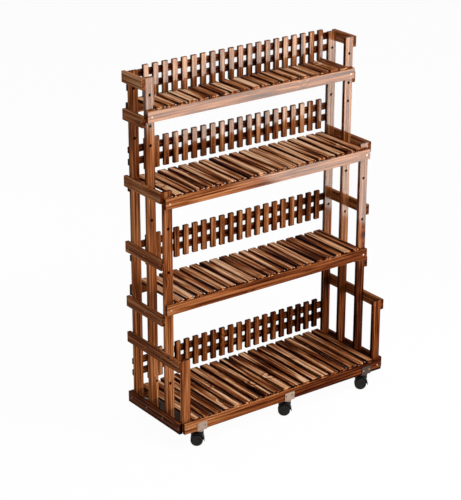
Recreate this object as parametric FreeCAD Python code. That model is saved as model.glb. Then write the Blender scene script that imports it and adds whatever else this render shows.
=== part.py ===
import FreeCAD, Part
import os

from FreeCAD import Placement, Rotation, Vector

# Tiered plant stand of slatted timber on six swivel casters.
# Origin: on the floor, under the middle of the stand. +X is to the right, +Y to the back, +Z up.
# Heights of timber are counted from the feet of the posts.

# Whole stand
stand_width = 1050.0
stand_depth = 380.0
frame_height = 1400.0
caster_height = 73.0

# Sections of the timber
rail_height = 45.0
base_rail_height = 47.0
side_rail_thickness = 16.0
cross_rail_thickness = 15.0
post_width = 40.0
post_thickness = 15.0
slat_width = 36.0
slat_thickness = 12.0
picket_width = 25.0
picket_thickness = 12.0
picket_length = 128.0
panel_rail_height = 26.0
panel_rail_thickness = 15.0
eased_edge = 1.6

# Shelves: depth from front to back, and height of the rails' top edges
base_rail_top = 42.0
middle_shelf_depth = 267.5
top_shelf_depth = 154.5
top_shelf_drop = 129.0
second_shelf_height = 953.5
third_shelf_height = 511.5

# Side rails: height of each top edge, the top one counted down from the handrail
top_side_rail_drop = 150.0
second_side_rail_height = 977.5
brace_rail_height = 702.0
third_side_rail_height = 466.5
low_handrail_height = 309.5

# Spacing of the slats and pickets
slat_gap = 14.0
slat_end_gap = 1.0
picket_gap = 20.0
picket_end_gap = 27.0

# Picket panels: how far each stands above a shelf's slats, and the step from a picket's top to its rails
top_panel_lift = 3.0
second_panel_lift = 24.5
third_panel_lift = 63.5
bottom_panel_lift = 28.5
top_panel_rail_drop = 21.0
panel_rail_drop = 27.0
panel_rail_gap = 24.0
panel_rail_end_gap = 4.0

# Spare holes through the posts
spare_hole_radius = 3.0
handrail_hole_drop = 69.0
top_shelf_hole_drop = 192.0
upper_hole_height = 1130.0
middle_hole_height = 825.0
brace_hole_drop = 59.0

# Screws of the frame
screw_head_radius = 3.8
screw_head_height = 2.4
screw_shank_radius = 2.0
screw_tip_length = 5.0
rail_screw_length = 24.0
side_screw_length = 28.0
cross_screw_height = 21.0
panel_screw_inset = 10.0
recess_width = 1.1
recess_span = 4.6
recess_depth = 1.2

# Nails of the slats and pickets
nail_head_radius = 1.5
nail_head_height = 0.8
nail_shank_radius = 0.8
nail_length = 22.0
nail_tip_length = 2.5

# Caster plates
plate_width = 48.0
plate_thickness = 2.5
plate_leg_height = 34.0
plate_depth = 30.0
plate_bend_radius = 2.0
collar_radius = 13.5
collar_height = 5.0
caster_end_inset = 99.5
middle_caster_shift = 15.0
swivel_inset = 10.0
plate_screw_spread = 30.0
plate_screw_height = 18.0
plate_screw_length = 12.0
plate_screw_head_height = 1.8

# Swivel pins
pin_radius = 4.0
pin_head_radius = 6.0
pin_head_height = 1.2
pin_depth = 11.5
pin_ring_radius = 5.0
pin_ring_height = 2.0
pin_ring_lift = 3.0

# Casters
wheel_radius = 25.0
wheel_width = 11.5
wheel_trail = 16.0
wheel_edge_radius = 5.0
wheel_inner_edge_radius = 1.0
wheel_dish_radius = 18.5
wheel_dish_depth = 1.4
wheel_hub_radius = 7.0
wheel_cap_thickness = 2.6
wheel_side_gap = 0.75
web_thickness = 5.0
axle_radius = 3.0
axle_boss_radius = 7.0
hood_radius = 30.5
hood_width = 30.0
hood_wall = 3.0
hood_centre_rise = 2.0
hood_centre_shift = 1.0
hood_skirt = 3.0
hood_lip_rise = 33.0
hood_edge_radius = 2.5
neck_radius = 12.5
neck_depth = 14.0

# Turn of the front casters about their swivel axes, in degrees; the rear ones trail the other way
caster_turn = -36.0

# Fits
fit_clearance = 0.05
running_clearance = 0.08
swivel_gap = 0.3
overrun = 1.0

# Places worked out from the sizes
half_width = stand_width / 2
front_face = -stand_depth / 2
rear_face = stand_depth / 2
post_outer_face = half_width - side_rail_thickness
post_centre = post_outer_face - post_width / 2
post_inner_face = post_outer_face - post_width
rear_rail_face = rear_face - cross_rail_thickness
middle_shelf_front = rear_face - middle_shelf_depth
top_shelf_front = rear_face - top_shelf_depth
top_shelf_height = frame_height - top_shelf_drop
foot_height = caster_height + base_rail_height - base_rail_top
side_signs = {"left": -1, "right": 1}

# Front face and top of each post
post_rows = {
    "back": (rear_rail_face - post_thickness, frame_height),
    "upper": (top_shelf_front + cross_rail_thickness, frame_height),
    "middle": (middle_shelf_front + cross_rail_thickness, second_side_rail_height),
    "front": (front_face + cross_rail_thickness, low_handrail_height),
}

# Top edge of each side rail, and the posts that it joins, from the back
side_rail_rows = {
    "handrail": (frame_height, ("back", "upper")),
    "top_side_rail": (frame_height - top_side_rail_drop, ("back", "upper")),
    "second_side_rail": (second_side_rail_height, ("back", "upper", "middle")),
    "brace_rail": (brace_rail_height, ("back", "upper", "middle")),
    "third_side_rail": (third_side_rail_height, ("back", "upper", "middle")),
    "low_handrail": (low_handrail_height, ("back", "upper", "middle", "front")),
    "base_rail": (base_rail_top, ("back", "upper", "middle", "front")),
}

# Front, rail height, post at the front, lift of the panel and step to the panel's rails
shelf_rows = {
    "top": (top_shelf_front, top_shelf_height, "upper", top_panel_lift, top_panel_rail_drop),
    "second": (middle_shelf_front, second_shelf_height, "middle", second_panel_lift, panel_rail_drop),
    "third": (middle_shelf_front, third_shelf_height, "middle", third_panel_lift, panel_rail_drop),
    "bottom": (front_face, base_rail_top, "front", bottom_panel_lift, panel_rail_drop),
}

# Heights of the spare holes in each post
handrail_hole = frame_height - handrail_hole_drop
top_shelf_hole = frame_height - top_shelf_hole_drop
brace_hole = brace_rail_height - brace_hole_drop
spare_hole_rows = {
    "back": (handrail_hole, upper_hole_height, brace_hole),
    "upper": (handrail_hole, top_shelf_hole, upper_hole_height, middle_hole_height, brace_hole),
    "middle": (middle_hole_height, brace_hole),
    "front": (),
}

# Swivel axes of the casters, and the side of the stand that each plate faces
caster_rows = {
    "front_left": (caster_end_inset - half_width, -1),
    "front_middle": (middle_caster_shift, -1),
    "front_right": (half_width - caster_end_inset, -1),
    "rear_left": (caster_end_inset - half_width, 1),
    "rear_middle": (middle_caster_shift, 1),
    "rear_right": (half_width - caster_end_inset, 1),
}


def timber(low, high):
    """Return a straight timber between two corners, raised onto the casters, with eased edges."""
    base = low + Vector(0, 0, foot_height)
    size = high - low
    block = Part.makeBox(size.x, size.y, size.z, base)
    return block.makeFillet(eased_edge, block.Edges)


def rod(radius, start, end):
    """Return a round rod between two points."""
    return Part.makeCylinder(radius, (end - start).Length, start, end - start)


def placed(shape, point, direction):
    """Return a copy of a shape whose own +Z axis is turned to a direction and moved to a point."""
    copy = shape.copy()
    copy.Placement = Placement(point, Rotation(Vector(0, 0, 1), direction))
    return copy


def fastener(head_radius, head_height, shank_radius, length, tip_length):
    """Return a screw or nail seated at the origin, its head along +Z and its pointed shank along -Z."""
    head = rod(head_radius, Vector(0, 0, 0), Vector(0, 0, head_height))
    shank = rod(shank_radius, Vector(0, 0, 0), Vector(0, 0, tip_length - length))
    tip = Part.makeCone(0, shank_radius, tip_length, Vector(0, 0, -length))
    return head.fuse([shank, tip]).removeSplitter()


def drill(head_radius, head_height, shank_radius, length):
    """Return the hole that a fastener needs: a seat for the head and a bore for the shank."""
    seat = rod(head_radius + fit_clearance, Vector(0, 0, 0), Vector(0, 0, head_height + overrun))
    bore = rod(shank_radius + fit_clearance, Vector(0, 0, 0), Vector(0, 0, -length - fit_clearance))
    return seat.fuse(bore)


def cross_recess(head_height):
    """Return the crossed slots of a screw's driver recess."""
    floor = head_height - recess_depth
    slot = Part.makeBox(recess_span, recess_width, recess_depth + overrun)
    slot.translate(Vector(-recess_span / 2, -recess_width / 2, floor))
    crossing = slot.rotated(Vector(0, 0, 0), Vector(0, 0, 1), 90)
    return slot.fuse(crossing)


def drilled(piece, holes):
    """Return a piece with those of the holes cut into it that reach it."""
    near = [hole for hole in holes if hole.BoundBox.intersect(piece.BoundBox)]
    if not near:
        return piece
    return piece.cut(near).Solids[0]


def save(name, solids):
    """Write one named part."""
    Part.makeCompound(solids).exportStep("parts/" + name + ".step")


def row_centres(clear_width, width, gap, end_gap):
    """Return the places of equal strips spread over a clear width, close to the wanted gap."""
    room = clear_width - 2 * end_gap
    count = round((room + gap) / (width + gap))
    step = (room - width) / (count - 1)
    first = (width - room) / 2
    return [first + number * step for number in range(count)]


# Fastener shapes, each with its hole
rail_screw = fastener(
    screw_head_radius, screw_head_height, screw_shank_radius, rail_screw_length, screw_tip_length)
rail_screw = rail_screw.cut(cross_recess(screw_head_height))
rail_drill = drill(screw_head_radius, screw_head_height, screw_shank_radius, rail_screw_length)
side_screw = fastener(
    screw_head_radius, screw_head_height, screw_shank_radius, side_screw_length, screw_tip_length)
side_screw = side_screw.cut(cross_recess(screw_head_height))
side_drill = drill(screw_head_radius, screw_head_height, screw_shank_radius, side_screw_length)
nail = fastener(nail_head_radius, nail_head_height, nail_shank_radius, nail_length, nail_tip_length)
nail_drill = drill(nail_head_radius, nail_head_height, nail_shank_radius, nail_length)
plate_screw = fastener(
    screw_head_radius, plate_screw_head_height, screw_shank_radius, plate_screw_length, screw_tip_length)
plate_screw = plate_screw.cut(cross_recess(plate_screw_head_height))
plate_drill = drill(screw_head_radius, plate_screw_head_height, screw_shank_radius, plate_screw_length)


def fastened(spots, shape, hole):
    """Return the fasteners at a list of seats and directions, and the holes for them."""
    return [placed(shape, *spot) for spot in spots], [placed(hole, *spot) for spot in spots]


def rail_screw_spots():
    """Return the seats of the screws that hold the front, rear and panel rails to the posts."""
    spots = []
    for front, rail_top, _, lift, drop in shelf_rows.values():
        height = foot_height + rail_top - rail_height + cross_screw_height
        for sign in side_signs.values():
            place = sign * post_centre
            spots.append((Vector(place, front + screw_head_height, height), Vector(0, -1, 0)))
            spots.append((Vector(place, rear_face - screw_head_height, height), Vector(0, 1, 0)))
        for bottom in panel_rail_bottoms(rail_top, lift, drop):
            seat = rear_rail_face + panel_rail_thickness - screw_head_height
            height = foot_height + bottom + panel_rail_height / 2
            for sign in side_signs.values():
                place = sign * (post_inner_face + panel_screw_inset)
                spots.append((Vector(place, seat, height), Vector(0, 1, 0)))
    return spots


def side_screw_spots():
    """Return the seats of the screws that hold the side rails to the posts' edges."""
    spots = []
    for top, posts in side_rail_rows.values():
        for post in posts:
            middle = post_rows[post][0] + post_thickness / 2
            for sign in side_signs.values():
                seat = sign * (half_width - screw_head_height)
                height = foot_height + top - rail_height / 2
                spots.append((Vector(seat, middle, height), Vector(sign, 0, 0)))
    return spots


def nail_spots():
    """Return the seats of the nails in the slats, from above, and in the pickets, from the front."""
    spots = []
    for front, rail_top, _, lift, drop in shelf_rows.values():
        seat = foot_height + rail_top + slat_thickness - nail_head_height
        for place in slat_places:
            for depth in (front + cross_rail_thickness / 2, rear_face - cross_rail_thickness / 2):
                spots.append((Vector(place, depth, seat), Vector(0, 0, 1)))
        for bottom in panel_rail_bottoms(rail_top, lift, drop):
            seat = rear_rail_face - picket_thickness + nail_head_height
            height = foot_height + bottom + panel_rail_height / 2
            for place in picket_places:
                spots.append((Vector(place, seat, height), Vector(0, -1, 0)))
    return spots


def panel_rail_bottoms(rail_top, lift, drop):
    """Return the heights of the undersides of a panel's two rails."""
    picket_top = rail_top + slat_thickness + lift + picket_length
    upper = picket_top - drop - panel_rail_height
    return upper, upper - panel_rail_gap - panel_rail_height


def plate_screw_spots():
    """Return the seats of the screws that hold the caster plates to the bottom rails."""
    spots = []
    height = caster_height + plate_screw_height
    for place, facing in caster_rows.values():
        seat = facing * (rear_face + plate_thickness)
        for sign in side_signs.values():
            point = Vector(place + sign * plate_screw_spread / 2, seat, height)
            spots.append((point, Vector(0, facing, 0)))
    return spots


def rail_foot(top):
    """Return the height of a rail's lower edge. The base rails reach a little below the posts' feet."""
    return top - (base_rail_height if top == base_rail_top else rail_height)


def make_posts(holes):
    """Write the eight posts, with their spare holes."""
    for side, sign in side_signs.items():
        for name, (front, top) in post_rows.items():
            inner = min(sign * post_inner_face, sign * post_outer_face)
            rear = front + post_thickness
            post = timber(Vector(inner, front, 0), Vector(inner + post_width, rear, top))
            centre = sign * post_centre
            spare = [
                rod(
                    spare_hole_radius,
                    Vector(centre, front - overrun, foot_height + height),
                    Vector(centre, rear + overrun, foot_height + height))
                for height in spare_hole_rows[name]]
            save(side + "_" + name + "_post", [drilled(post, holes + spare)])


def make_side_rails(holes):
    """Write the fourteen side rails, on the outer faces of the posts."""
    for side, sign in side_signs.items():
        for name, (top, posts) in side_rail_rows.items():
            outer = min(sign * half_width, sign * post_outer_face)
            front = post_rows[posts[-1]][0]
            rail = timber(
                Vector(outer, front, rail_foot(top)),
                Vector(outer + side_rail_thickness, rear_face, top))
            save(side + "_" + name, [drilled(rail, holes)])


def make_shelf(name, holes):
    """Write one shelf: its front rail, its rear rail and its row of slats."""
    front, rail_top = shelf_rows[name][:2]
    for rail, rail_front in (("front", front), ("rear", rear_rail_face)):
        block = timber(
            Vector(-post_outer_face, rail_front, rail_foot(rail_top)),
            Vector(post_outer_face, rail_front + cross_rail_thickness, rail_top))
        save(name + "_" + rail + "_rail", [drilled(block, holes)])
    slats = []
    for place in slat_places:
        slat = timber(
            Vector(place - slat_width / 2, front, rail_top),
            Vector(place + slat_width / 2, rear_face, rail_top + slat_thickness))
        slats.append(drilled(slat, holes))
    save(name + "_slats", slats)


def make_panel(name, holes):
    """Write the picket panel behind one shelf: its two rails and its pickets."""
    _, rail_top, _, lift, drop = shelf_rows[name]
    half_length = post_outer_face - panel_rail_end_gap
    rails = []
    for bottom in panel_rail_bottoms(rail_top, lift, drop):
        rail = timber(
            Vector(-half_length, rear_rail_face, bottom),
            Vector(half_length, rear_rail_face + panel_rail_thickness, bottom + panel_rail_height))
        rails.append(drilled(rail, holes))
    save(name + "_panel_rails", rails)
    foot = rail_top + slat_thickness + lift
    pickets = []
    for place in picket_places:
        picket = timber(
            Vector(place - picket_width / 2, rear_rail_face - picket_thickness, foot),
            Vector(place + picket_width / 2, rear_rail_face, foot + picket_length))
        pickets.append(drilled(picket, holes))
    save(name + "_pickets", pickets)


def caster_plate():
    """Return a front caster's angle plate and collar, with the swivel axis at the origin."""
    face = -swivel_inset
    collar_foot = -plate_thickness - collar_height
    low = Vector(-plate_width / 2, face - plate_thickness, -plate_thickness)
    upright = Part.makeBox(plate_width, plate_thickness, plate_leg_height + plate_thickness, low)
    leg = Part.makeBox(plate_width, plate_depth, plate_thickness, low)
    angle = upright.fuse(leg).removeSplitter()
    corner = low + Vector(plate_width / 2, 0, 0)
    bend = [edge for edge in angle.Edges if edge.CenterOfMass.distanceToPoint(corner) < fit_clearance]
    angle = angle.makeFillet(plate_bend_radius, bend)
    collar = rod(collar_radius, Vector(0, 0, -plate_thickness), Vector(0, 0, collar_foot))
    seat = rod(pin_head_radius + fit_clearance, Vector(0, 0, -pin_head_height), Vector(0, 0, overrun))
    bore = rod(pin_radius + fit_clearance, Vector(0, 0, 0), Vector(0, 0, collar_foot - overrun))
    return angle.fuse(collar).cut([seat, bore])


def swivel_pin():
    """Return a swivel pin, flush in the plate, with the ring that keeps it in the hood."""
    foot = -plate_thickness - collar_height - swivel_gap - pin_depth
    shank = rod(pin_radius, Vector(0, 0, 0), Vector(0, 0, foot))
    head = rod(pin_head_radius, Vector(0, 0, -pin_head_height), Vector(0, 0, 0))
    ring_foot = foot + pin_ring_lift
    ring = rod(pin_ring_radius, Vector(0, 0, ring_foot), Vector(0, 0, ring_foot + pin_ring_height))
    return shank.fuse([head, ring]).removeSplitter()


wheel_centre = Vector(-wheel_trail, 0, wheel_radius - caster_height)


def hood_arch(radius, low, high, foot):
    """Return a slab, from low to high in Y, of an arch over the wheels, with upright skirts."""
    centre = wheel_centre + Vector(hood_centre_shift, low, hood_centre_rise)
    left = centre - Vector(radius, 0, 0)
    right = centre + Vector(radius, 0, 0)
    left_foot = Vector(left.x, low, foot)
    right_foot = Vector(right.x, low, foot)
    edges = [
        Part.Arc(left, centre + Vector(0, 0, radius), right).toShape(),
        Part.makeLine(right, right_foot),
        Part.makeLine(right_foot, left_foot),
        Part.makeLine(left_foot, left)]
    return Part.Face(Part.Wire(edges)).extrude(Vector(0, high - low, 0))


def hood_opening(reach, foot):
    """Return the wedge that leaves a hood open on its trailing side, below a lip."""
    far = wheel_centre.x + hood_centre_shift - hood_radius - overrun
    lip = Vector(far, -reach, foot + hood_lip_rise)
    corner = Vector(far, -reach, foot)
    inner = Vector(wheel_centre.x - axle_boss_radius, -reach, foot)
    return Part.Face(Part.makePolygon([lip, corner, inner, lip])).extrude(Vector(0, 2 * reach, 0))


def caster_hood():
    """Return a caster's hood: a shell over both wheels, a web between them, a neck and an axle boss."""
    half = hood_width / 2
    half_web = web_thickness / 2
    top = -plate_thickness - collar_height - swivel_gap
    foot = wheel_centre.z + hood_centre_rise - hood_skirt
    shell = hood_arch(hood_radius, -half, half, foot)
    rims = [
        edge for edge in shell.Edges
        if edge.BoundBox.YLength < fit_clearance and edge.BoundBox.ZLength > fit_clearance]
    shell = shell.makeFillet(hood_edge_radius, rims).cut(hood_opening(half + overrun, foot - overrun))
    inner = hood_radius - hood_wall
    right = hood_arch(inner, half_web, half + overrun, foot - overrun)
    left = hood_arch(inner, -half - overrun, -half_web, foot - overrun)
    neck = rod(neck_radius, Vector(0, 0, top), Vector(0, 0, top - neck_depth))
    web_side = Vector(0, half_web, 0)
    boss = rod(axle_boss_radius, wheel_centre - web_side, wheel_centre + web_side)
    pin_foot = top - pin_depth - swivel_gap
    pin_bore = rod(pin_radius + running_clearance, Vector(0, 0, top + overrun), Vector(0, 0, pin_foot))
    ring_low = top - pin_depth + pin_ring_lift
    ring_groove = rod(
        pin_ring_radius + swivel_gap,
        Vector(0, 0, ring_low - swivel_gap),
        Vector(0, 0, ring_low + pin_ring_height + swivel_gap))
    axle_bore = rod(
        axle_radius + running_clearance,
        wheel_centre - Vector(0, web_thickness, 0),
        wheel_centre + Vector(0, web_thickness, 0))
    body = shell.cut([left, right]).fuse([neck, boss]).removeSplitter()
    return body.cut([pin_bore, ring_groove, axle_bore]).Solids[0]


def caster_wheels():
    """Return a caster's two wheels and their axle."""
    inner = web_thickness / 2 + wheel_side_gap
    outer = inner + wheel_width
    wheel = rod(wheel_radius, wheel_centre + Vector(0, inner, 0), wheel_centre + Vector(0, outer, 0))
    circles = [edge for edge in wheel.Edges if edge.Closed]
    circles.sort(key=lambda edge: edge.CenterOfMass.y)
    wheel = wheel.makeFillet(wheel_inner_edge_radius, circles[:1])
    rim = [
        edge for edge in wheel.Edges
        if edge.Closed and edge.CenterOfMass.y > outer - fit_clearance]
    wheel = wheel.makeFillet(wheel_edge_radius, rim)
    dish = rod(
        wheel_dish_radius,
        wheel_centre + Vector(0, outer - wheel_dish_depth, 0),
        wheel_centre + Vector(0, outer + overrun, 0))
    hub = rod(wheel_hub_radius, wheel_centre + Vector(0, inner, 0), wheel_centre + Vector(0, outer, 0))
    bore_end = outer - wheel_cap_thickness
    bore = rod(
        axle_radius + fit_clearance,
        wheel_centre + Vector(0, inner - overrun, 0),
        wheel_centre + Vector(0, bore_end, 0))
    wheel = wheel.cut(dish.cut(hub)).cut(bore)
    opposite = wheel.mirror(Vector(0, 0, 0), Vector(0, 1, 0))
    reach = bore_end - fit_clearance
    axle = rod(axle_radius, wheel_centre - Vector(0, reach, 0), wheel_centre + Vector(0, reach, 0))
    return [wheel, opposite, axle]


def turned(shape, angle):
    """Return a shape turned about the upright axis through the origin."""
    return shape.rotated(Vector(0, 0, 0), Vector(0, 0, 1), angle)


def make_casters(holes):
    """Write the casters: the plates and pins as groups, and each hood and wheel pair by itself."""
    plates = []
    pins = []
    front_plate = caster_plate()
    rear_plate = front_plate.mirror(Vector(0, 0, 0), Vector(0, 1, 0))
    for name, (place, facing) in caster_rows.items():
        axis = Vector(place, facing * (rear_face - swivel_inset), caster_height)
        turn = caster_turn if facing < 0 else caster_turn + 180
        plate = (front_plate if facing < 0 else rear_plate).translated(axis)
        plates.append(drilled(plate, holes))
        pins.append(swivel_pin().translated(axis))
        save(name + "_hood", [turned(caster_hood(), turn).translated(axis)])
        save(name + "_wheels", [turned(solid, turn).translated(axis) for solid in caster_wheels()])
    save("caster_plates", plates)
    save("swivel_pins", pins)


os.makedirs("parts", exist_ok=True)

slat_places = row_centres(2 * post_inner_face, slat_width, slat_gap, slat_end_gap)
picket_places = row_centres(2 * post_inner_face, picket_width, picket_gap, picket_end_gap)

rail_screws, rail_holes = fastened(rail_screw_spots(), rail_screw, rail_drill)
side_screws, side_holes = fastened(side_screw_spots(), side_screw, side_drill)
plate_screws, plate_holes = fastened(plate_screw_spots(), plate_screw, plate_drill)
nails, nail_holes = fastened(nail_spots(), nail, nail_drill)
save("rail_screws", rail_screws)
save("side_rail_screws", side_screws)
save("plate_screws", plate_screws)
save("nails", nails)

make_posts(rail_holes + side_holes)
make_side_rails(side_holes)
for shelf in shelf_rows:
    make_shelf(shelf, rail_holes + plate_holes + nail_holes)
    make_panel(shelf, rail_holes + nail_holes)
make_casters(plate_holes)
print("slats per shelf", len(slat_places), "pickets per panel", len(picket_places))
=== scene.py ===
# %% [markdown]
# # A tiered plant stand in flamed fir
# The stand's timber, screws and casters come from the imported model, with every size already right.
# This lesson gives them their looks: a camera, plain light, and finishes for wood, steel and plastic.
# Everything is in metres. +X is to the right, +Y to the back and +Z up, with the floor at zero.

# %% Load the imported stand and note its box
import math
import bpy
import bmesh
from mathutils import Matrix, Vector


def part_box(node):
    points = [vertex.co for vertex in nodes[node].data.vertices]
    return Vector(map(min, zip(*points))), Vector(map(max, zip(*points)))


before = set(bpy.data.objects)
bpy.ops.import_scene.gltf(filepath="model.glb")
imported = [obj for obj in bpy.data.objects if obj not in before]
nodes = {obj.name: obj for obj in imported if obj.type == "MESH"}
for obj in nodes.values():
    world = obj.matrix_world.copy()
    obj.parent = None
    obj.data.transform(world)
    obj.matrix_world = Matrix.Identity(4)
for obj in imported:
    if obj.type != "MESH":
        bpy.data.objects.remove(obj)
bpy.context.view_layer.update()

# %% [markdown]
# ## Camera
# The photograph looks down at the stand from its front left corner. A long lens from seven metres
# keeps the posts nearly parallel, as they are there. The camera looks at a point a little below the stand's
# middle, and a small step to the side puts the stand where it is in the frame. A camera that is placed by
# angles is easier to adjust than one that is placed by hand.

# %% Place the camera
look_at = Vector((0, 0, 0.68038))
camera_distance = 7.09787
camera_turn = -0.6331423
camera_tilt = 0.3861473
camera_roll = 0.0013717
side_step = -0.1187914
rise = -0.0018195
picture_width = 461
focal_pixels = 1749.33
sensor_width = 36
farthest_seen = 60

toward = Vector((-math.sin(camera_turn) * math.cos(camera_tilt),
                 math.cos(camera_turn) * math.cos(camera_tilt),
                 -math.sin(camera_tilt)))
level_right = Vector((math.cos(camera_turn), math.sin(camera_turn), 0))
level_up = level_right.cross(toward)
right = level_right * math.cos(camera_roll) + level_up * math.sin(camera_roll)
up = level_up * math.cos(camera_roll) - level_right * math.sin(camera_roll)
eye = look_at - toward * camera_distance + right * side_step + up * rise

camera_data = bpy.data.cameras.new("camera")
camera_data.sensor_fit = "HORIZONTAL"
camera_data.sensor_width = sensor_width
camera_data.lens = sensor_width * focal_pixels / picture_width
camera_data.clip_end = farthest_seen
camera = bpy.data.objects.new("camera", camera_data)
camera.matrix_world = Matrix((
    (right.x, up.x, -toward.x, eye.x),
    (right.y, up.y, -toward.y, eye.y),
    (right.z, up.z, -toward.z, eye.z),
    (0, 0, 0, 1)))
bpy.context.scene.collection.objects.link(camera)
bpy.context.scene.camera = camera
bpy.context.scene.view_settings.view_transform = "Standard"
print("lens", round(camera_data.lens, 1), "mm, eye at", [round(v, 2) for v in eye])

# %% [markdown]
# ## Node helpers
# A material is a small network of nodes. Making each node takes three lines: add it, set its values,
# link its inputs. One helper does all three, and a few more name the steps that come back often, so that
# the cells below read like a list of steps.

# %% Helpers that add nodes and wire them
def add_node(tree, kind, inputs=None, **settings):
    """Add a node. An input may be a plain value or another node's output socket."""
    node = tree.nodes.new(kind)
    for name, value in settings.items():
        setattr(node, name, value)
    for name, value in (inputs or {}).items():
        if isinstance(value, bpy.types.NodeSocket):
            tree.links.new(value, node.inputs[name])
        else:
            node.inputs[name].default_value = value
    return node


def math_node(tree, operation, first, second=0.0, third=0.0, clamp=False):
    """Return the output of one step of arithmetic."""
    node = add_node(tree, "ShaderNodeMath", {0: first, 1: second, 2: third}, operation=operation)
    node.use_clamp = clamp
    return node.outputs[0]


def vector_node(tree, operation, *inputs):
    """Return the output of one step of arithmetic on vectors: a vector, a length or a distance."""
    node = add_node(tree, "ShaderNodeVectorMath", dict(enumerate(inputs)), operation=operation)
    return node.outputs["Value" if operation in ("LENGTH", "DISTANCE") else "Vector"]


def split_vector(tree, vector):
    """Return a vector's three parts."""
    return add_node(tree, "ShaderNodeSeparateXYZ", {0: vector}).outputs


def range_node(tree, value, low, high, to_low=0.0, to_high=1.0, smooth=True):
    """Return a value moved from one range to another, held inside it."""
    node = add_node(tree, "ShaderNodeMapRange", {
        "Value": value, "From Min": low, "From Max": high, "To Min": to_low, "To Max": to_high})
    node.interpolation_type = "SMOOTHSTEP" if smooth else "LINEAR"
    node.clamp = True
    return node.outputs["Result"]


def mix_colours(tree, share, first, second):
    """Return two colours mixed by a share."""
    node = tree.nodes.new("ShaderNodeMix")
    node.data_type = "RGBA"
    for socket, value in ((node.inputs[0], share), (node.inputs[6], first), (node.inputs[7], second)):
        if isinstance(value, bpy.types.NodeSocket):
            tree.links.new(value, socket)
        else:
            socket.default_value = value
    return node.outputs[2]


def link(tree, output, target):
    """Join two sockets."""
    tree.links.new(output, target)


print("helpers ready")

# %% [markdown]
# ## Floor
# The photograph has a plain white ground. The floor is a pale sheet that takes the stand's shadow. To the
# camera it also gives off some white of its own, by the Light Path node, so that it turns white without
# more light on the stand. Mirrored and glassy rays see that white too. Under the stand, where a floor lies
# in deep shadow, the sheet is dark with soft edges, since white there would shine up between the slats.

# %% Make the floor
def seen_rays(tree):
    """Return 1 for rays that show the camera something, straight, mirrored or through glass, else 0."""
    path = add_node(tree, "ShaderNodeLightPath").outputs
    seen = math_node(tree, "MAXIMUM", path["Is Camera Ray"], path["Is Glossy Ray"])
    return math_node(tree, "MAXIMUM", seen, path["Is Transmission Ray"])


floor_span = 30.0
floor_parts = 6
floor_paint = (0.88, 0.88, 0.88, 1)
painted_shadow_colour = (0.085, 0.060, 0.045, 1)
white_share = 0.96
# Two corners of the painted shadow under the stand, and how far it fades out from each, across and to the
# back
painted_shadow_corners = (((0.38, 0.27), (0.20, 0.14)), ((-0.385, 0.03), (-0.055, -0.07)))

mesh = bpy.data.meshes.new("floor")
sheet = bmesh.new()
bmesh.ops.create_grid(sheet, x_segments=floor_parts, y_segments=floor_parts, size=floor_span / 2)
sheet.to_mesh(mesh)
sheet.free()
floor = bpy.data.objects.new("floor", mesh)
bpy.context.scene.collection.objects.link(floor)

floor_material = bpy.data.materials.new("pale_floor")
floor_material.use_nodes = True
tree = floor_material.node_tree
tree.nodes.clear()
ground = add_node(tree, "ShaderNodeTexCoord").outputs["Object"]
past = [vector_node(tree, "MULTIPLY_ADD", ground, (1 / wide, 1 / deep, 0), (-x / wide, -y / deep, 0))
        for (x, y), (wide, deep) in painted_shadow_corners]
farther = vector_node(tree, "MAXIMUM", vector_node(tree, "MAXIMUM", *past), (0, 0, 0))
outside = range_node(tree, vector_node(tree, "LENGTH", farther), 0.0, 1.0)
matt = add_node(tree, "ShaderNodeBsdfDiffuse", {
    "Color": mix_colours(tree, outside, painted_shadow_colour, floor_paint)})
glow = add_node(tree, "ShaderNodeEmission", {"Color": (1, 1, 1, 1), "Strength": 1.0})
share = math_node(tree, "MULTIPLY", math_node(tree, "MULTIPLY", seen_rays(tree), white_share), outside)
blended = add_node(tree, "ShaderNodeMixShader", {0: share, 1: matt.outputs[0], 2: glow.outputs[0]})
out = add_node(tree, "ShaderNodeOutputMaterial")
link(tree, blended.outputs[0], out.inputs["Surface"])
mesh.materials.append(floor_material)
print("floor", floor_span, "m wide")

# %% [markdown]
# ## World
# Behind the floor the camera and the varnish's reflections see a white wall, a little higher than the
# horizon. Above it, and as light for everything, the world is a quiet pale room. A wall made in the world
# costs no mesh and stays equally far from every angle.

# %% Make the world
room_light = 0.30
wall_light = 1.0
wall_top = (0.17, 0.27)

world = bpy.data.worlds.new("white_room")
world.use_nodes = True
bpy.context.scene.world = world
tree = world.node_tree
tree.nodes.clear()
height = split_vector(tree, add_node(tree, "ShaderNodeTexCoord").outputs["Object"])[2]
wall = math_node(tree, "MULTIPLY", seen_rays(tree), range_node(tree, height, *wall_top, 1.0, 0.0))
strength = range_node(tree, wall, 0.0, 1.0, room_light, wall_light, smooth=False)
sky = add_node(tree, "ShaderNodeBackground", {"Color": (1, 1, 1, 1), "Strength": strength})
out = add_node(tree, "ShaderNodeOutputWorld")
link(tree, sky.outputs[0], out.inputs["Surface"])
print("room light", room_light, "beside a white wall's", wall_light)

# %% [markdown]
# ## Lamps
# In the photograph the front faces are bright, the upper ones washed pale by a reflection in the varnish,
# and the faces to the left are dark. A large soft lamp low in front and to the right does that, where the
# upper front faces mirror it to the camera. It is a little warm, as its reflections are. A second one, high
# in front, lights the shelves, and a weak third one keeps the back readable. An area lamp has soft shadows,
# as a studio's screen has, and the room's own light fills the rest.

# %% Add the soft lamps
def soft_lamp(name, place, aim, width, height, brightness, colour=(1, 1, 1)):
    """Add a rectangular lamp at a place, turned to a point, as bright as so many white walls."""
    data = bpy.data.lights.new(name, "AREA")
    data.shape = "RECTANGLE"
    data.size = width
    data.size_y = height
    data.energy = brightness * math.pi * width * height
    data.color = colour
    lamp = bpy.data.objects.new(name, data)
    lamp.location = place
    lamp.rotation_euler = (Vector(aim) - Vector(place)).to_track_quat("-Z", "Y").to_euler()
    bpy.context.scene.collection.objects.link(lamp)


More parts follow.
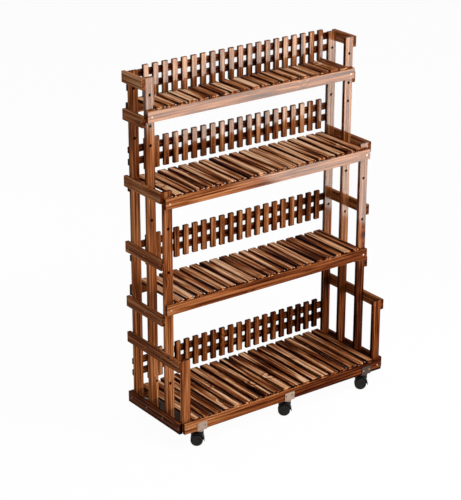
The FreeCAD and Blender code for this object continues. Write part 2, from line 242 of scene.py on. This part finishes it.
soft_lamp("right_screen", place=(1.60, -2.25, 0.54), aim=(0.0, -2.25, 0.54), width=2.3, height=0.98,
          brightness=12.0, colour=(1.0, 0.98, 0.89))
soft_lamp("top_screen", place=(0.5, -2.6, 3.9), aim=(0.0, 0.0, 0.6), width=2.2, height=2.2, brightness=9.0)
soft_lamp("back_screen", place=(-0.8, 3.2, 1.9), aim=(0.0, 0.0, 0.7), width=1.6, height=1.6, brightness=4.0)
print("three soft lamps ready")

# %% [markdown]
# ## Flamed fir
# The timber is fir that was passed through a flame and varnished. The flame darkens one part of each year
# ring more than the other, so each board shows strong streaks. A picture of wood would repeat and would not
# go round a corner. A solid pattern suits it: rings around a heart that lies outside the board, bent by
# noise, cut by whichever face is seen. The pattern needs to know where it is in a board: along it, across
# it and into it. Here X is along, Y across and Z into the board.

# %% Group: year rings
def new_group(name, inputs, outputs):
    """Start a node group with named sockets, and return it with its input and output nodes."""
    group = bpy.data.node_groups.new(name, "ShaderNodeTree")
    for label, kind, value in inputs:
        socket = group.interface.new_socket(name=label, in_out="INPUT", socket_type=kind)
        if value is not None:
            socket.default_value = value
    for label, kind in outputs:
        group.interface.new_socket(name=label, in_out="OUTPUT", socket_type=kind)
    return group, group.nodes.new("NodeGroupInput"), group.nodes.new("NodeGroupOutput")


log_reach = (37.0, 53.0, 71.0)

rings, given, result = new_group(
    "year_rings",
    [("Vector", "NodeSocketVector", None), ("Chance", "NodeSocketVector", None),
     ("Ring Width", "NodeSocketFloat", 0.009), ("Sway", "NodeSocketFloat", 0.005)],
    [("Ring", "NodeSocketFloat"), ("Fibre", "NodeSocketFloat"), ("Cloud", "NodeSocketFloat"),
     ("Knot", "NodeSocketFloat")])
seat = split_vector(rings, given.outputs["Vector"])
chance = split_vector(rings, given.outputs["Chance"])
# Chance moves each board to its own part of the log
shift = vector_node(rings, "MULTIPLY", given.outputs["Chance"], log_reach)
moved = vector_node(rings, "ADD", given.outputs["Vector"], shift)
print("the pattern takes", ", ".join(socket.name for socket in given.outputs if socket.name))

# %% [markdown]
# A few boards have knots, around which the rings bend. Cells of noise place them: long ones along the
# board, most of them left empty. Distances in a cell are stretched back, so that a knot comes out round.

# %% Knots in the rings
knot_cells, knot_round = (4.5, 22.0, 22.0), (4.9, 1.0, 1.0)
knot_share = 0.14
knot_pull, knot_core = (0.1, 0.9), (0.08, 0.2)
knot_push = 0.012
cells = vector_node(rings, "MULTIPLY", moved, knot_cells)
spots = add_node(rings, "ShaderNodeTexVoronoi", {"Vector": cells, "Scale": 1.0},
                 feature="F1", distance="EUCLIDEAN")
away = vector_node(rings, "SUBTRACT", cells, spots.outputs["Position"])
reach = vector_node(rings, "LENGTH", vector_node(rings, "MULTIPLY", away, knot_round))
spot_chance = add_node(rings, "ShaderNodeSeparateColor", {0: spots.outputs["Color"]}).outputs[0]
chosen = math_node(rings, "GREATER_THAN", spot_chance, 1.0 - knot_share)
knot_bend = math_node(rings, "MULTIPLY", range_node(rings, reach, *knot_pull, 1.0, 0.0), chosen)
knot = math_node(rings, "MULTIPLY", range_node(rings, reach, *knot_core, 1.0, 0.0), chosen)
print("knots in", round(100 * knot_share), "of 100 cells")

# %% [markdown]
# A point's distance from the heart, divided by a ring's width, says where in its year ring it is. Slow
# noise bends the rings, as no trunk is quite round. Two finer kinds of noise, drawn out along the board,
# are its fibre and the clouds that the flame leaves.

# %% Rings, fibre and clouds
def stretched_noise(tree, point, stretch, detail, roughness, distortion=0.0):
    """Return noise with so many spots to a metre along, across and into the board."""
    return add_node(tree, "ShaderNodeTexNoise", {
        "Vector": vector_node(tree, "MULTIPLY", point, stretch), "Scale": 1.0, "Detail": detail,
        "Roughness": roughness, "Distortion": distortion}).outputs[0]


heart_across, heart_across_start = 0.16, -0.08
heart_below, heart_below_start = 0.05, 0.015
slow_bends, fine_fibre, wide_clouds = (1.5, 7.0, 7.0), (9.0, 420.0, 420.0), (3.0, 80.0, 80.0)
sway_gain = 4.0
burnt_start, burnt_end = (0.25, 0.85), (0.88, 1.0)

# The heart's place across and below the board is a matter of chance too
across = math_node(rings, "MULTIPLY_ADD", chance[0], heart_across, heart_across_start)
below = math_node(rings, "MULTIPLY_ADD", chance[1], heart_below, heart_below_start)
from_heart = math_node(rings, "ADD", seat[1], across)
under = math_node(rings, "ADD", seat[2], below)
square = math_node(rings, "ADD", math_node(rings, "MULTIPLY", from_heart, from_heart),
                   math_node(rings, "MULTIPLY", under, under))
slow = stretched_noise(rings, moved, slow_bends, detail=2.0, roughness=0.45)
bend = math_node(rings, "MULTIPLY", math_node(rings, "SUBTRACT", slow, 0.5), given.outputs["Sway"])
radius = math_node(rings, "ADD", math_node(rings, "SQRT", square),
                   math_node(rings, "MULTIPLY", bend, sway_gain))
radius = math_node(rings, "ADD", radius, math_node(rings, "MULTIPLY", knot_bend, knot_push))
turn = math_node(rings, "FRACT", math_node(rings, "DIVIDE", radius, given.outputs["Ring Width"]))
ring = math_node(rings, "MULTIPLY", range_node(rings, turn, *burnt_start),
                 range_node(rings, turn, *burnt_end, 1.0, 0.0))

fibre = stretched_noise(rings, moved, fine_fibre, detail=3.0, roughness=0.6)
cloud = stretched_noise(rings, moved, wide_clouds, detail=3.0, roughness=0.55, distortion=0.5)
for label, value in (("Ring", ring), ("Fibre", fibre), ("Cloud", cloud), ("Knot", knot)):
    link(rings, value, result.inputs[label])
print("year rings:", len(rings.nodes), "nodes")

# %% [markdown]
# ## Edges and ends
# Edges and ends tell wood from a printed sheet. The eased edges rub pale, and the sawn ends burn darker
# than the faces. Both can be read from which way a face points: an eased edge points between two axes, an
# end points along the board. That needs no extra mesh.

# %% Group: rubbed edges and sawn ends
edge_facing = (0.8, 0.99)
end_facing = (0.75, 0.95)
rub_scale = 34.0
rub_patches = (0.35, 0.6)
least_rub = 0.25

edges, given, result = new_group(
    "edges_and_ends",
    [("Normal", "NodeSocketVector", None), ("Vector", "NodeSocketVector", None)],
    [("Edge", "NodeSocketFloat"), ("End", "NodeSocketFloat")])
size = split_vector(edges, vector_node(edges, "ABSOLUTE", given.outputs["Normal"]))
largest = math_node(edges, "MAXIMUM", math_node(edges, "MAXIMUM", size[0], size[1]), size[2])
patches = add_node(edges, "ShaderNodeTexNoise", {
    "Vector": given.outputs["Vector"], "Scale": rub_scale, "Detail": 2.0}).outputs[0]
rubbed = math_node(edges, "MULTIPLY", range_node(edges, largest, *edge_facing, 1.0, 0.0),
                   range_node(edges, patches, *rub_patches, least_rub, 1.0))
link(edges, rubbed, result.inputs["Edge"])
link(edges, range_node(edges, size[0], *end_facing), result.inputs["End"])
print("edges and ends:", len(edges.nodes), "nodes")

# %% [markdown]
# ## A board's place in its material
# Boards differ, so each node gets its own material with its own values: how light the board is, which way
# it runs, and a number that picks its part of the log. Slats and pickets lie many to a node. There the
# board's number is worked out from the place along the row, and chance gives each its own tone. The slats
# also follow a short list of light and dark boards, over and over, so that each shelf can have its own mix.
# A painted shade darkens the faces in the narrow gaps, and the long edges beside them are darker by charring
# and by painted shade.

# %% Boards in a row
row_luck, batch_luck = 0.16, 0.08
batch_middle = 0.55
side_facing = (0.75, 0.95)
# Painted shade on the slats' faces in the gaps, and charring with painted shade along the edges beside them
gap_painted_shade = 0.14
rim_start = 0.66
rim_char_and_painted_shade = 0.24


def ramp_node(tree, value, steps, interpolation="LINEAR"):
    """Return a value turned into colours. steps lists positions and their colours."""
    ramp = add_node(tree, "ShaderNodeValToRGB", {0: value})
    ramp.color_ramp.interpolation = interpolation
    stops = ramp.color_ramp.elements
    stops.remove(stops[-1])
    stops[0].position, stops[0].color = steps[0]
    for position, colour in steps[1:]:
        stops.new(position).color = colour
    return ramp.outputs[0]


def board_in_row(tree, place, row, batch, seed, tone):
    """Return a point's place in its own board of a row, the board's chance and how light it is.

    row gives the first board's middle, the pitch and half a board's width. batch lists how light the
    boards are, over and over.
    """
    first, pitch, half_width = row
    x, y, z = split_vector(tree, place.outputs["Object"])
    number = math_node(tree, "FLOOR", math_node(tree, "DIVIDE", math_node(
        tree, "SUBTRACT", x, first - pitch / 2), pitch))
    own = math_node(tree, "SUBTRACT", x, math_node(tree, "MULTIPLY_ADD", number, pitch, first))
    seat = add_node(tree, "ShaderNodeCombineXYZ", {0: own, 1: y, 2: z}).outputs[0]
    chance = add_node(tree, "ShaderNodeTexWhiteNoise", {
        "W": math_node(tree, "ADD", number, seed)}, noise_dimensions="1D").outputs
    if batch:
        count = len(batch)
        step = math_node(tree, "MODULO", math_node(tree, "ADD", number, 0.5), count)
        listed = ramp_node(tree, math_node(tree, "DIVIDE", step, count), [
            (index / count, (level, level, level, 1)) for index, level in enumerate(batch)], "CONSTANT")
        light = math_node(tree, "MULTIPLY_ADD", chance["Value"], batch_luck, math_node(
            tree, "ADD", listed, tone - batch_middle))
    else:
        light = math_node(tree, "MULTIPLY_ADD", chance["Value"], row_luck, tone - row_luck / 2)
    # Painted shade on faces that point along the row into the gaps, and on the long edges beside them
    sideways = math_node(tree, "ABSOLUTE", split_vector(tree, place.outputs["Normal"])[0])
    light = math_node(tree, "MULTIPLY_ADD", range_node(tree, sideways, *side_facing), -gap_painted_shade, light)
    rim = range_node(tree, math_node(tree, "ABSOLUTE", own), rim_start * half_width, half_width)
    return seat, chance["Color"], math_node(tree, "MULTIPLY_ADD", rim, -rim_char_and_painted_shade, light)


print("boards in a row differ by up to", row_luck, "in tone by chance")

# %% [markdown]
# Posts and rails aren't in a row. There a place is counted from the middle of the node's box, so that the
# heart of the log lies beside the board and not somewhere across the room. The right posts' faces inside
# the stand lie in shade in the photograph, so the faces that point to the left can be made darker.

# %% Boards outside a row
def board_alone(tree, place, name, seed, tone, inner_burn):
    """Return the same for a node without a row. inner_burn darkens its faces that point to the left with a
    painted shade.
    """
    low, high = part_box(name)
    seat = add_node(tree, "ShaderNodeMapping", {
        "Vector": place.outputs["Object"], "Location": tuple(-(low + high) / 2)}).outputs[0]
    chance = add_node(tree, "ShaderNodeTexWhiteNoise", {"W": seed}, noise_dimensions="1D").outputs
    # Painted shade on the faces that point to the left
    sideways = split_vector(tree, place.outputs["Normal"])[0]
    inner = range_node(tree, sideways, -side_facing[1], -side_facing[0], 1.0, 0.0)
    return seat, chance["Color"], math_node(tree, "MULTIPLY_ADD", inner, -inner_burn, tone)


print("other boards are counted from their node's middle")

# %% [markdown]
# ## The fir's colours and varnish
# One number says how light a point is, from charred to pale straw. The pattern, the wear, tones of painted
# light and shade set by position and by which way a face points, and a painted shade around drilled holes
# all add to it or take from it, and a ramp turns it into a colour. Paler wood is also a little smoother, and
# the grain gives a fine relief.
#
# The varnish is a clear coat. It starts at a slanting line, above which the front faces mirror the low
# lamp, so that the lower faces stay deep and warm. Drilled holes get a ring of painted shade and no varnish.

# %% Tones, relief and gloss
tones = (
    (0.00, (0.006, 0.0008, 0.0003, 1)), (0.20, (0.048, 0.008, 0.002, 1)), (0.42, (0.155, 0.040, 0.010, 1)),
    (0.60, (0.285, 0.096, 0.032, 1)), (0.78, (0.460, 0.208, 0.088, 1)), (1.00, (0.710, 0.450, 0.280, 1)))
cloud_range, cloud_tones = (0.34, 0.66), (-0.20, 0.22)
ring_burn, fibre_tones, knot_burn = 0.20, 0.40, 0.7
edge_rub, end_burn = 0.12, 0.28
# How far the drilled holes' painted shade reaches from their middles
hole_painted_shade_reach = (0.003, 0.0075)
rough_tones, rough_range = (0.1, 0.9), (0.42, 0.30)
ring_relief, relief_strength, relief_depth = 0.6, 0.34, 0.0003
bare_shine = 0.012
gloss, coat_roughness = 0.43, 0.07
varnish_slope = 0.715
varnish_start = (0.84, 0.93)
coat_near_holes = (0.5, 1.0)
# Each turn brings the boards' own direction onto the pattern's X
turns = {"x": (0, 0, 0), "y": (0, 0, -math.pi / 2), "z": (0, math.pi / 2, 0)}
print("a ramp of", len(tones), "tones, and a coat of", gloss)

# %% Fir material
def new_material(name):
    """Start a material, and return it with its node tree and its main shader."""
    material = bpy.data.materials.new(name)
    material.use_nodes = True
    tree = material.node_tree
    return material, tree, tree.nodes["Principled BSDF"]


def away_from_holes(tree, face, across, heights):
    """Return 1 away from drilled holes and 0 at their rims, seen from the front."""
    clear_of_hole_shade = 1.0
    for height in heights:
        apart = vector_node(tree, "DISTANCE", face, (across, 0, height))
        clear_of_hole_shade = math_node(tree, "MINIMUM", clear_of_hole_shade, range_node(tree, apart, *hole_painted_shade_reach))
    return clear_of_hole_shade


def fir(name, runs, seed, tone, contrast, ring_width=0.009, varnish=0.0, row=None, batch=None,
        fade=None, holes=(0.0, ()), inner_burn=0.0):
    """A flamed fir material for the node of that name.

    runs is the boards' own direction, and tone says how light they are. row and batch are for boards in a
    row. fade is an axis, a range on it and the tones added at its two ends, as painted light and shade.
    holes is the place across the stand and the heights of drilled holes.
    """
    material, tree, shader = new_material(name)
    place = add_node(tree, "ShaderNodeTexCoord")
    parts = split_vector(tree, place.outputs["Object"])
    if row:
        seat, luck, light = board_in_row(tree, place, row, batch, seed, tone)
    else:
        seat, luck, light = board_alone(tree, place, name, seed, tone, inner_burn)
    if fade:
        axis, *ends = fade
        light = math_node(tree, "ADD", light, range_node(tree, parts[axis], *ends, smooth=False))
    face = add_node(tree, "ShaderNodeCombineXYZ", {0: parts["X"], 2: parts["Z"]}).outputs[0]
    clear_of_hole_shade = away_from_holes(tree, face, *holes)
    # A painted shade darkens the holes and a ring around them
    light = math_node(tree, "ADD", light, math_node(tree, "SUBTRACT", clear_of_hole_shade, 1.0))

    turned, facing = (add_node(tree, "ShaderNodeMapping", {
        "Vector": vector, "Rotation": turns[runs]}).outputs[0] for vector in (seat, place.outputs["Normal"]))
    grain = add_node(tree, "ShaderNodeGroup", node_tree=rings)
    link(tree, turned, grain.inputs["Vector"])
    link(tree, luck, grain.inputs["Chance"])
    grain.inputs["Ring Width"].default_value = ring_width
    wear = add_node(tree, "ShaderNodeGroup", node_tree=edges)
    link(tree, facing, wear.inputs["Normal"])
    link(tree, turned, wear.inputs["Vector"])

    streak = range_node(tree, grain.outputs["Cloud"], *cloud_range, *(v * contrast for v in cloud_tones))
    level = math_node(tree, "ADD", streak, light)
    level = math_node(tree, "MULTIPLY_ADD", grain.outputs["Ring"], -ring_burn * contrast, level)
    fibre = math_node(tree, "SUBTRACT", grain.outputs["Fibre"], 0.5)
    level = math_node(tree, "MULTIPLY_ADD", fibre, fibre_tones * contrast, level)
    level = math_node(tree, "MULTIPLY_ADD", grain.outputs["Knot"], -knot_burn, level)
    level = math_node(tree, "MULTIPLY_ADD", wear.outputs["Edge"], edge_rub, level)
    level = math_node(tree, "MULTIPLY_ADD", wear.outputs["End"], -end_burn, level, clamp=True)
    link(tree, ramp_node(tree, level, tones), shader.inputs["Base Color"])
    link(tree, range_node(tree, level, *rough_tones, *rough_range), shader.inputs["Roughness"])
    relief = math_node(tree, "MULTIPLY_ADD", grain.outputs["Ring"], ring_relief, grain.outputs["Fibre"])
    bump = add_node(tree, "ShaderNodeBump", {
        "Strength": relief_strength, "Distance": relief_depth, "Height": relief})
    link(tree, bump.outputs[0], shader.inputs["Normal"])
    shader.inputs["Specular IOR Level"].default_value = bare_shine
    shader.inputs["Coat Roughness"].default_value = coat_roughness
    if varnish:
        above = math_node(tree, "MULTIPLY_ADD", parts["X"], varnish_slope, parts["Z"])
        coat = range_node(tree, above, *varnish_start, 0.0, varnish)
        coat = math_node(tree, "MULTIPLY", coat, range_node(tree, clear_of_hole_shade, *coat_near_holes))
        link(tree, coat, shader.inputs["Coat Weight"])
    return material


print("fir ready")

# %% [markdown]
# A node keeps its mesh and only gets a material. The fir's is made under the node's own name, because it
# looks up that node's box.

# %% Dress a node
def dress(name, material):
    """Give a node one material."""
    mesh = nodes[name].data
    if not mesh.materials:
        mesh.materials.append(material)
    for index in range(len(mesh.materials)):
        mesh.materials[index] = material


def dress_in_fir(name, *looks, **more_looks):
    """Give a node a fir material of its own."""
    dress(name, fir(name, *looks, **more_looks))


print(len(nodes), "nodes to dress")

# %% [markdown]
# ## Shelves and panels
# Each shelf has slats that run from front to back on a front and a rear rail, and a panel of pickets on two
# thin rails behind it. The shelves differ: the upper ones are paler and catch the varnish, the lower ones
# are deeper and darken to the right. The paleness above and the depth below are partly painted light and
# shade, and the tones that change along a shelf or up a panel are painted light and shade. A table of tones
# for each shelf keeps that in one place, and is easier to tune than nodes that are set one by one.

# %% Dress the shelves and panels
# The first board's middle, the pitch and half a board's width
slat_row = (-0.450, 0.050, 0.018)
picket_row = (-0.4295, 0.0452105, 0.0125)
panel_rail_tone, rear_rail_tone = 0.32, 0.48
rail_contrast, picket_contrast = 0.8, 0.9
wide_rings = 0.010
# Seeds lie far apart, so that no two boards come from the same part of the log
slat_seed, picket_seed, front_seed, panel_seed, rear_seed = 11.3, 31.7, 61.3, 47.1, 53.9
# For each shelf: the slats' tone and contrast, the pickets' and the front rail's tone, and the varnish
shelf_looks = {
    "top": (0.74, 1.6, 0.65, 0.53, gloss), "second": (0.715, 1.9, 0.63, 0.56, gloss),
    "third": (0.71, 1.7, 0.62, 0.52, 0.0), "bottom": (0.66, 1.9, 0.56, 0.53, 0.0)}
slat_batches = {
    "top": (0.59, 0.54, 0.55, 0.60, 0.55, 0.58), "second": (0.53, 0.44, 0.58, 0.54, 0.50, 0.70),
    "third": (0.50, 0.64, 0.50, 0.50, 0.56, 0.46), "bottom": (0.50, 0.46, 0.56, 0.52, 0.52, 0.70)}
# Tones added along X or up Z, as painted light and shade: most shelves darken to the right, the second
# shelf's slats to the left, the upper panels low down, and the top slats grow paler at the right.
slat_fades = {
    "top": ("X", 0.30, 0.45, 0.0, 0.10), "second": ("X", -0.40, -0.10, -0.05, 0.0),
    "third": ("X", 0.10, 0.40, 0.0, -0.04), "bottom": ("X", 0.15, 0.45, 0.0, -0.14)}
picket_fades = {
    "top": ("Z", 1.37, 1.45, -0.12, 0.02), "second": ("Z", 1.07, 1.15, -0.08, 0.03),
    "third": ("X", 0.20, 0.45, 0.0, -0.12), "bottom": ("X", 0.05, 0.45, 0.0, -0.30)}
rail_fades = {
    "top": ("X", -0.5, 0.4, 0.04, -0.06), "second": ("X", -0.4, 0.3, 0.03, -0.10),
    "third": ("X", -0.5, 0.0, 0.06, -0.15), "bottom": ("X", -0.4, 0.4, 0.06, -0.30)}
for number, (shelf, (slats, bold, pickets, front, varnish)) in enumerate(shelf_looks.items()):
    dress_in_fir(shelf + "_slats", "y", slat_seed + number, slats, bold, wide_rings,
                 row=slat_row, batch=slat_batches[shelf], fade=slat_fades[shelf])
    dress_in_fir(shelf + "_pickets", "z", picket_seed + number, pickets, picket_contrast,
                 varnish=varnish, row=picket_row, fade=picket_fades[shelf])
    dress_in_fir(shelf + "_front_rail", "x", front_seed + number, front, rail_contrast, wide_rings,
                 varnish, fade=rail_fades[shelf])
    dress_in_fir(shelf + "_panel_rails", "x", panel_seed + number, panel_rail_tone, rail_contrast)
    dress_in_fir(shelf + "_rear_rail", "x", rear_seed + number, rear_rail_tone, rail_contrast)
print("shelves dressed")

# %% [markdown]
# ## Posts and side rails
# Four posts stand in each side frame, and seven rails join them on their outer faces. The right posts are
# varnished, pale above the third shelf and dark below it by a painted shade, and a painted shade makes
# their inner faces darker than their fronts. The left posts get a little painted light and shade up their
# height, and of them only the upper post catches the varnish. The spare holes' heights are the packed
# model's, because the painted shade around the holes has to sit where the holes are.

# %% Dress the posts and side rails
post_looks = {"back": 0.53, "upper": 0.56, "middle": 0.50, "front": 0.59}
post_holes = {
    "back": (1.409, 1.208, 0.721), "upper": (1.409, 1.286, 1.208, 0.903, 0.721),
    "middle": (0.903, 0.721), "front": ()}
post_middle = 0.489
post_seed, side_rail_seed = 71.7, 101.9
# How much painted shade the right posts' faces that point to the left get
right_inner_burn = 0.26
# Tones added up the posts, as painted light and shade; the right posts are darkest low down
left_painted_shading = {
    "upper": ("Z", 0.70, 1.30, 0.04, -0.04), "middle": ("Z", 0.45, 0.95, 0.07, -0.03),
    "front": ("Z", 0.20, 0.30, 0.0, -0.06)}
right_painted_shading = dict.fromkeys(post_looks, ("Z", 0.49, 0.58, -0.25, 0.02))
right_painted_shading["front"] = ("Z", 0.12, 0.40, -0.34, -0.16)
# The side rails grow darker towards the floor, partly a painted shade
side_rail_looks = {
    "handrail": 0.73, "top_side_rail": 0.63, "second_side_rail": 0.60, "brace_rail": 0.59,
    "third_side_rail": 0.54, "low_handrail": 0.52, "base_rail": 0.28}
for side, seed_step, across, inner_burn, post_painted_shading in (
        ("left", 0, -post_middle, 0.0, left_painted_shading),
        ("right", 10, post_middle, right_inner_burn, right_painted_shading)):
    for number, (post, tone) in enumerate(post_looks.items()):
        varnish = gloss if side == "right" or post == "upper" else 0.0
        dress_in_fir(side + "_" + post + "_post", "z", post_seed + seed_step + number, tone, rail_contrast,
                     wide_rings, varnish, fade=post_painted_shading.get(post), holes=(across, post_holes[post]),
                     inner_burn=inner_burn)
    for number, (rail, tone) in enumerate(side_rail_looks.items()):
        dress_in_fir(side + "_" + rail, "y", side_rail_seed + seed_step + number, tone, rail_contrast)
print("posts and side rails dressed")

# %% [markdown]
# ## Steel
# The screws, nails, pins and plates are zinc plated steel, pale and a little cloudy from handling. A metal's
# colour is its reflection's colour, so each kind gets its own, and noise at two sizes gives the clouds and
# the fine scratches. A painted shade makes the plates darker to the right.

# %% Dress the screws, pins and plates
# Most of a noise's values lie in this range
noise_spread = (0.3, 0.7)
# How dark the clouds are, and how dark the plates' painted shade to the right is
cloud_stain, painted_shade_depth = 0.72, 0.16
smoother, rougher = 0.08, 0.1
metal_clouds, metal_scratches = 90.0, 1600.0
scratch_strength, scratch_depth = 0.2, 0.0001
plates_painted_shade = (0.1, 0.4)


def steel(name, colour, rough, shaded=None):
    """Zinc plated steel: cloudy, with fine scratches. shaded is a range across, over which a painted shade
    turns it dark.
    """
    material, tree, shader = new_material(name)
    place = add_node(tree, "ShaderNodeTexCoord").outputs["Object"]
    clouds = add_node(tree, "ShaderNodeTexNoise", {
        "Vector": place, "Scale": metal_clouds, "Detail": 4.0, "Roughness": 0.6}).outputs[0]
    stained, painted_shade_colour = (tuple(v * stain for v in colour[:3]) + (1,) for stain in (cloud_stain, painted_shade_depth))
    metal = mix_colours(tree, clouds, stained, colour)
    # A painted shade turns the metal dark across this range
    if shaded:
        across = split_vector(tree, place)[0]
        metal = mix_colours(tree, range_node(tree, across, *shaded), metal, painted_shade_colour)
    link(tree, metal, shader.inputs["Base Color"])
    roughness = range_node(tree, clouds, *noise_spread, rough - smoother, rough + rougher)
    link(tree, roughness, shader.inputs["Roughness"])
    fine = add_node(tree, "ShaderNodeTexNoise", {"Vector": place, "Scale": metal_scratches, "Detail": 2.0})
    bump = add_node(tree, "ShaderNodeBump", {
        "Strength": scratch_strength, "Distance": scratch_depth, "Height": fine.outputs[0]})
    link(tree, bump.outputs[0], shader.inputs["Normal"])
    shader.inputs["Metallic"].default_value = 1.0
    return material


for name, colour, rough, shaded in (
        ("rail_screws", (0.56, 0.40, 0.28, 1), 0.40, None),
        ("side_rail_screws", (0.24, 0.15, 0.09, 1), 0.48, None),
        ("plate_screws", (0.46, 0.36, 0.30, 1), 0.40, None),
        ("nails", (0.26, 0.17, 0.10, 1), 0.50, None),
        ("swivel_pins", (0.50, 0.48, 0.46, 1), 0.34, None),
        ("caster_plates", (0.44, 0.31, 0.25, 1), 0.46, plates_painted_shade)):
    dress(name, steel(name, colour, rough, shaded))
print("steel dressed")

# %% [markdown]
# ## Plastic
# The casters' hoods and wheels are moulded in black plastic, whose skin has a fine grain and turns a little
# paler and duller where it rubs. Coarse noise places the rubbed patches, and a very fine one is the skin's
# bump. One material serves all the hoods and one all the wheels, as they come from the same moulds.

# %% Dress the casters
rubbed_pale, rubbed_dull = 1.9, 0.14
rub_patch_scale, skin_scale = 60.0, 2200.0
pale_patches = (0.45, 0.7)
skin_strength, skin_depth = 0.3, 0.0001
plastic_shine = 0.14


def plastic(name, colour, rough):
    """Moulded black plastic with a fine skin, paler where it rubs."""
    material, tree, shader = new_material(name)
    place = add_node(tree, "ShaderNodeTexCoord").outputs["Object"]
    rub = add_node(tree, "ShaderNodeTexNoise", {
        "Vector": place, "Scale": rub_patch_scale, "Detail": 5.0, "Roughness": 0.65}).outputs[0]
    pale = tuple(v * rubbed_pale for v in colour[:3]) + (1,)
    base = mix_colours(tree, range_node(tree, rub, *pale_patches), colour, pale)
    link(tree, base, shader.inputs["Base Color"])
    roughness = range_node(tree, rub, *noise_spread, rough, rough + rubbed_dull)
    link(tree, roughness, shader.inputs["Roughness"])
    skin = add_node(tree, "ShaderNodeTexNoise", {"Vector": place, "Scale": skin_scale, "Detail": 1.0})
    bump = add_node(tree, "ShaderNodeBump", {
        "Strength": skin_strength, "Distance": skin_depth, "Height": skin.outputs[0]})
    link(tree, bump.outputs[0], shader.inputs["Normal"])
    shader.inputs["Specular IOR Level"].default_value = plastic_shine
    return material


hood_plastic = plastic("hood_plastic", (0.005, 0.005, 0.006, 1), 0.40)
wheel_plastic = plastic("wheel_plastic", (0.012, 0.011, 0.010, 1), 0.50)
for end in ("front", "rear"):
    for place in ("left", "middle", "right"):
        dress(end + "_" + place + "_hood", hood_plastic)
        dress(end + "_" + place + "_wheels", wheel_plastic)
print("casters dressed")
